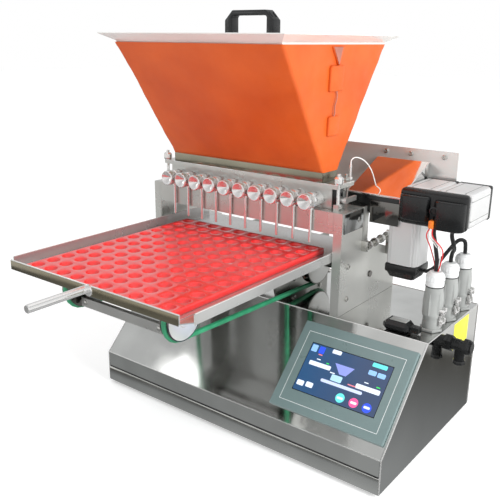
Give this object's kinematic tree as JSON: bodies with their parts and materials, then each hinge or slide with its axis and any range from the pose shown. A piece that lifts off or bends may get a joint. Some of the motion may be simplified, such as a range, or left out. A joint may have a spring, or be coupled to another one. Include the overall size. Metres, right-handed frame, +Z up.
{
  "type": "benchtop hopper depositor",
  "caption": "Benchtop depositor: heated tapered hopper with lid over a row of piston nozzles, mould tray on belt conveyor, folded steel base with touch terminal.",
  "frame": {"origin": "floor level under the middle of the whole machine's footprint, at rest", "axes": "+X to the operator's right, +Y from the tray handle to the rear, +Z up"},
  "size_m": [0.656, 0.694, 0.7283],
  "materials": {
    "mirror_steel": "mirror-polished stainless sheet, slightly wavy",
    "brushed_steel": "satin brushed stainless",
    "polished_heads": "turned and polished stainless",
    "aluminium": "satin machined aluminium",
    "black_plastic": "fine matte black moulding",
    "plug_grey": "light grey moulded connector shell",
    "foot_rubber": "matte black rubber",
    "belt_green": "rough green polyurethane round cord",
    "silicone_orange": "semi-matte orange silicone sheet",
    "silicone_red": "satin red silicone",
    "terminal_grey": "fine matte grey-green bezel",
    "screen_glass": "dark glossy display window",
    "control_case": "matte grey moulded case"
  },
  "bodies": {
    "frame": {"base_shell": "mirror_steel", "base_end_left": "mirror_steel", "base_end_right": "mirror_steel", "bridge_upright_left": "mirror_steel", "bridge_upright_right": "mirror_steel", "conveyor_front_bar": "mirror_steel", "hopper_shell": "mirror_steel", "drive_hood": "mirror_steel", "rear_guard": "mirror_steel", "base_bottom_plate": "brushed_steel", "bridge_beam": "brushed_steel", "conveyor_plate_left": "brushed_steel", "conveyor_plate_right": "brushed_steel", "hopper_flange": "brushed_steel", "nozzle_01": "polished_heads", "nozzle_02": "polished_heads", "nozzle_03": "polished_heads", "nozzle_04": "polished_heads", "nozzle_05": "polished_heads", "nozzle_06": "polished_heads", "nozzle_07": "polished_heads", "nozzle_08": "polished_heads", "nozzle_09": "polished_heads", "nozzle_10": "polished_heads", "piston_block": "aluminium", "piston_servo": "aluminium", "valve_servo": "aluminium", "lift_servo": "aluminium", "conveyor_motor": "black_plastic", "servo_covers": "black_plastic", "lift_servo_cap": "black_plastic", "signal_plug": "black_plastic", "side_gland": "black_plastic", "lead_piston_servo": "black_plastic", "lead_valve_servo": "black_plastic", "lead_lift_servo": "black_plastic", "deck_plug_1": "plug_grey", "deck_plug_2": "plug_grey", "deck_plug_3": "plug_grey", "foot_front_left": "foot_rubber", "foot_front_right": "foot_rubber", "foot_rear_left": "foot_rubber", "foot_rear_right": "foot_rubber", "belt_left": "belt_green", "belt_right": "belt_green", "heater_jacket": "silicone_orange", "terminal_body": "terminal_grey", "terminal_screen": "screen_glass", "control_unit": "control_case"},
    "tray": {"mould_tray": "brushed_steel", "silicone_mould": "silicone_red", "tray_handle_rod": "polished_heads"},
    "drive_roller": {"drive_roller": "aluminium"},
    "front_idler": {"front_idler": "aluminium"},
    "piston_bar": {"piston_bar": "brushed_steel"},
    "valve_spool": {"valve_spool": "brushed_steel"},
    "clamp_left": {"clamp_bolt_left": "polished_heads"},
    "clamp_right": {"clamp_bolt_right": "polished_heads"},
    "lid": {"hopper_lid": "mirror_steel", "lid_handle": "black_plastic"}
  },
  "joints": [
    {"name": "tray_slide", "type": "slide", "parent": "frame", "child": "tray", "axis": [0, 1, 0], "range_m": [-0.1, 0.24]},
    {"name": "drive_roller_spin", "type": "hinge", "parent": "frame", "child": "drive_roller", "pos_m": [-0.1055, 0.236, 0.2645], "axis": [1, 0, 0], "range_deg": [-321, 134]},
    {"name": "front_idler_spin", "type": "hinge", "parent": "frame", "child": "front_idler", "pos_m": [-0.1055, -0.151, 0.2715], "axis": [1, 0, 0], "range_deg": [-383, 160]},
    {"name": "piston_stroke", "type": "slide", "parent": "frame", "child": "piston_bar", "axis": [0, 1, 0], "range_m": [0, 0.018]},
    {"name": "valve_turn", "type": "hinge", "parent": "frame", "child": "valve_spool", "pos_m": [-0.1055, 0.1545, 0.416], "axis": [1, 0, 0], "range_deg": [0, 70]},
    {"name": "clamp_left_swing", "type": "hinge", "parent": "frame", "child": "clamp_left", "pos_m": [-0.3065, 0.144, 0.405], "axis": [0, -1, 0], "range_deg": [0, 80]},
    {"name": "clamp_right_swing", "type": "hinge", "parent": "frame", "child": "clamp_right", "pos_m": [0.0955, 0.144, 0.405], "axis": [0, 1, 0], "range_deg": [0, 80]},
    {"name": "lid_lift", "type": "slide", "parent": "frame", "child": "lid", "axis": [0, 0, 1], "range_m": [0, 0.12]}
  ],
  "couplings": [
    {"joint": "drive_roller_spin", "follows": "tray_slide", "rad_per_m": -23.256},
    {"joint": "front_idler_spin", "follows": "tray_slide", "rad_per_m": -27.778}
  ]
}
